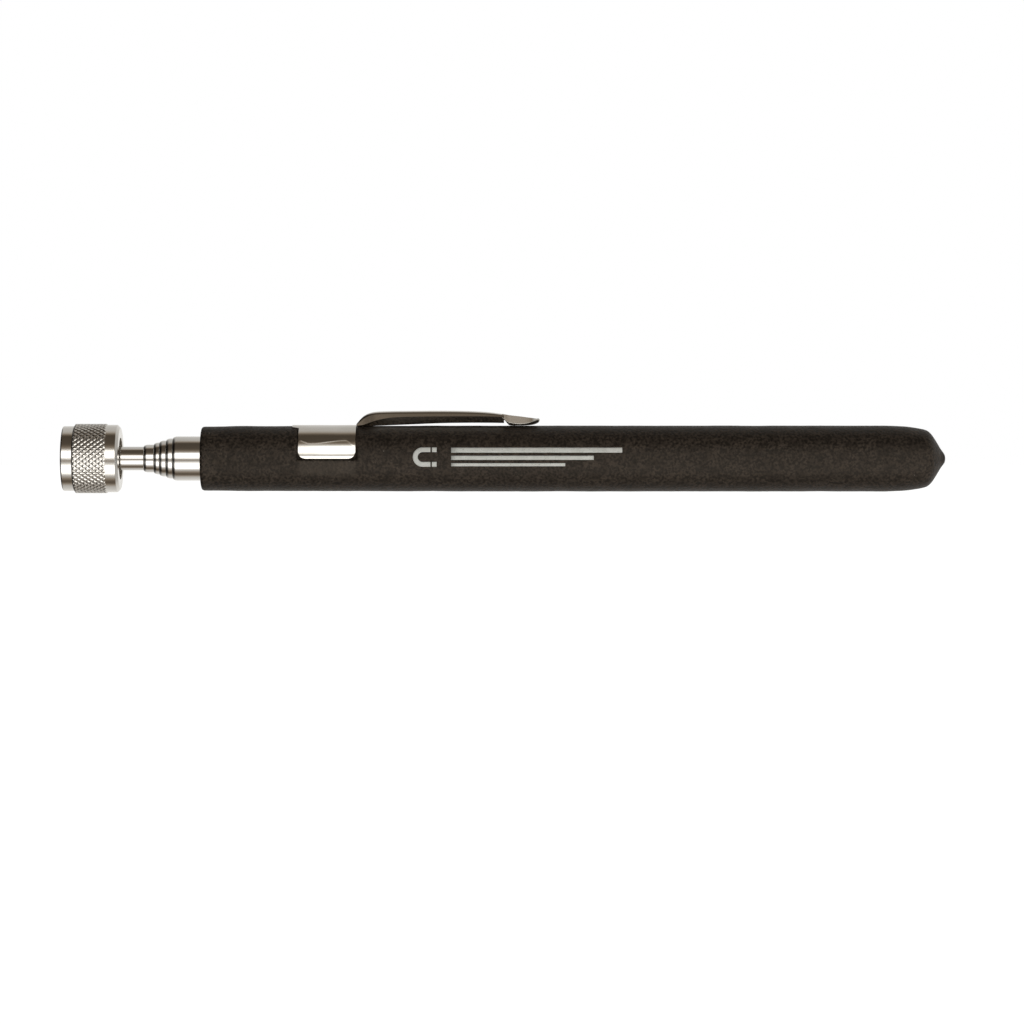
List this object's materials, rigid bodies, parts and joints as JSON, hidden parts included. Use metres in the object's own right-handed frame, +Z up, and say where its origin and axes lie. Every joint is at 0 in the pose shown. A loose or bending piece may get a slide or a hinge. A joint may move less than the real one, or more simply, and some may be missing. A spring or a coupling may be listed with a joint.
{
  "type": "magnetic pickup tool",
  "caption": "Pocket telescoping magnetic pickup tool with nested chrome tubes, a knurled magnet head, a black cushion grip and a spring pocket clip.",
  "frame": {"origin": "centre of the flat pickup face at the front of the magnet head, on the tube axis", "axes": "+X along the tool from the pickup face to the end of the grip; +Z up through the pocket clip; +Y completes the right-handed frame"},
  "size_m": [0.1715, 0.0134, 0.0163],
  "materials": {
    "grip_foam": "matte black foamed vinyl, fine grain",
    "tube_chrome": "bright chrome plate, drawn along the tube",
    "head_chrome": "chrome plate over fine diamond knurling",
    "clip_steel": "bright plated spring steel",
    "shim_brass": "rolled strip, lightly burnished",
    "plug_plastic": "moulded, matt",
    "spacer_plastic": "moulded, matt",
    "fastener_steel": "zinc plated, turned",
    "pot_steel": "pressed steel, ground rim",
    "magnet_nickel": "nickel plated, satin"
  },
  "bodies": {
    "handle": {"grip_sleeve": "grip_foam", "outer_tube": "tube_chrome", "tail_plug": "plug_plastic", "clip_band": "clip_steel"},
    "clip": {"clip_arm": "clip_steel"},
    "section_1": {"slide_tube_1": "tube_chrome", "tube_shims_1": "shim_brass"},
    "section_2": {"slide_tube_2": "tube_chrome", "tube_shims_2": "shim_brass"},
    "section_3": {"slide_tube_3": "tube_chrome", "tube_shims_3": "shim_brass"},
    "section_4": {"slide_tube_4": "tube_chrome", "tube_shims_4": "shim_brass"},
    "rod_carrier": {"rod_shims": "shim_brass"},
    "rod_and_head": {"rod": "tube_chrome", "rod_tip_plug": "fastener_steel", "rod_tail_plug": "fastener_steel", "head_shell": "head_chrome", "lock_washer": "fastener_steel", "head_nut": "fastener_steel", "magnet_pot": "pot_steel", "spacer_ring": "spacer_plastic", "magnet": "magnet_nickel"}
  },
  "joints": [
    {"name": "section_1_slide", "type": "slide", "parent": "handle", "child": "section_1", "axis": [-1, 0, 0], "range_m": [0, 0.12]},
    {"name": "section_2_slide", "type": "slide", "parent": "section_1", "child": "section_2", "axis": [-1, 0, 0], "range_m": [0, 0.12]},
    {"name": "section_3_slide", "type": "slide", "parent": "section_2", "child": "section_3", "axis": [-1, 0, 0], "range_m": [0, 0.12]},
    {"name": "section_4_slide", "type": "slide", "parent": "section_3", "child": "section_4", "axis": [-1, 0, 0], "range_m": [0, 0.12]},
    {"name": "rod_slide", "type": "slide", "parent": "section_4", "child": "rod_carrier", "axis": [-1, 0, 0], "range_m": [0, 0.12]},
    {"name": "rod_spin", "type": "hinge", "parent": "rod_carrier", "child": "rod_and_head", "pos_m": [0.1416, 0, 0], "axis": [-1, 0, 0], "continuous": true},
    {"name": "clip_flex", "type": "hinge", "parent": "handle", "child": "clip", "pos_m": [0.0573, 0, 0.00632], "axis": [0, -1, 0], "range_deg": [0, 8], "stiffness_Nm_per_rad": 0.5}
  ]
}
